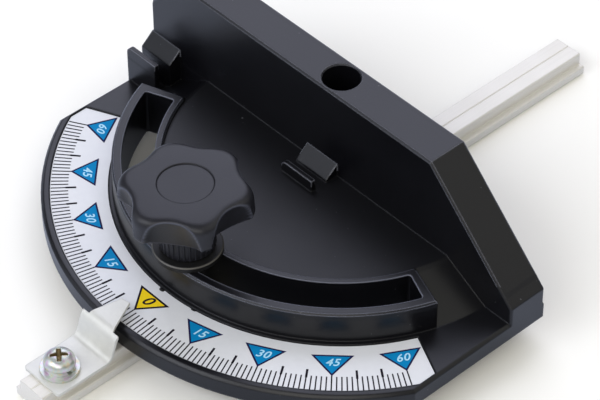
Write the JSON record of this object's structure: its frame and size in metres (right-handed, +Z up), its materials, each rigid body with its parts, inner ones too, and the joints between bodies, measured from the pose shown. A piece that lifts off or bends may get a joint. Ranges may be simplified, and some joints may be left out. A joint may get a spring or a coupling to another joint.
{
  "type": "miter gauge",
  "caption": "Table-saw miter gauge: moulded protractor head with a fence and arc slot, swinging on a T-section aluminium guide bar under a star knob.",
  "frame": {"origin": "under the middle of the guide bar, on its underside, which is the lowest face", "axes": "+X along the fence to the right as seen from the knob, +Y along the bar towards the saw and away from the pointer, +Z up"},
  "size_m": [0.176, 0.2476, 0.0597],
  "materials": {
    "extruded_aluminium": "satin extruded",
    "black_moulding": "satin moulded",
    "white_label": "satin printed film",
    "yellow_print": "printed ink",
    "blue_print": "printed ink",
    "dark_print": "printed ink",
    "dark_steel": "black oxide",
    "zinc_steel": "bright zinc plate",
    "zinc_sheet": "zinc-plated sheet",
    "washer_steel": "dull zinc plate",
    "knob_moulding": "satin moulded"
  },
  "bodies": {
    "bar": {"miter_bar": "extruded_aluminium", "pivot_screw": "dark_steel", "pivot_spring_washer": "zinc_steel", "pivot_washer": "zinc_steel", "pointer": "zinc_sheet", "pointer_washer": "zinc_steel", "pointer_lock_washer": "zinc_steel", "pointer_screw": "zinc_steel"},
    "head": {"protractor_head": "black_moulding", "scale_label": "white_label", "scale_zero_mark": "yellow_print", "scale_angle_marks": "blue_print", "scale_degree_lines": "dark_print"},
    "knob": {"knob_grip": "knob_moulding", "knob_bolt": "zinc_steel", "knob_cap": "knob_moulding", "knob_washer": "washer_steel"}
  },
  "joints": [
    {"name": "head_swing", "type": "hinge", "parent": "bar", "child": "head", "pos_m": [0, 0.01125, 0.0108], "axis": [0, 0, 1], "range_deg": [-60, 60]},
    {"name": "knob_turn", "type": "hinge", "parent": "bar", "child": "knob", "pos_m": [0, -0.05695, 0.0286], "axis": [0, 0, 1], "range_deg": [0, 360]}
  ]
}
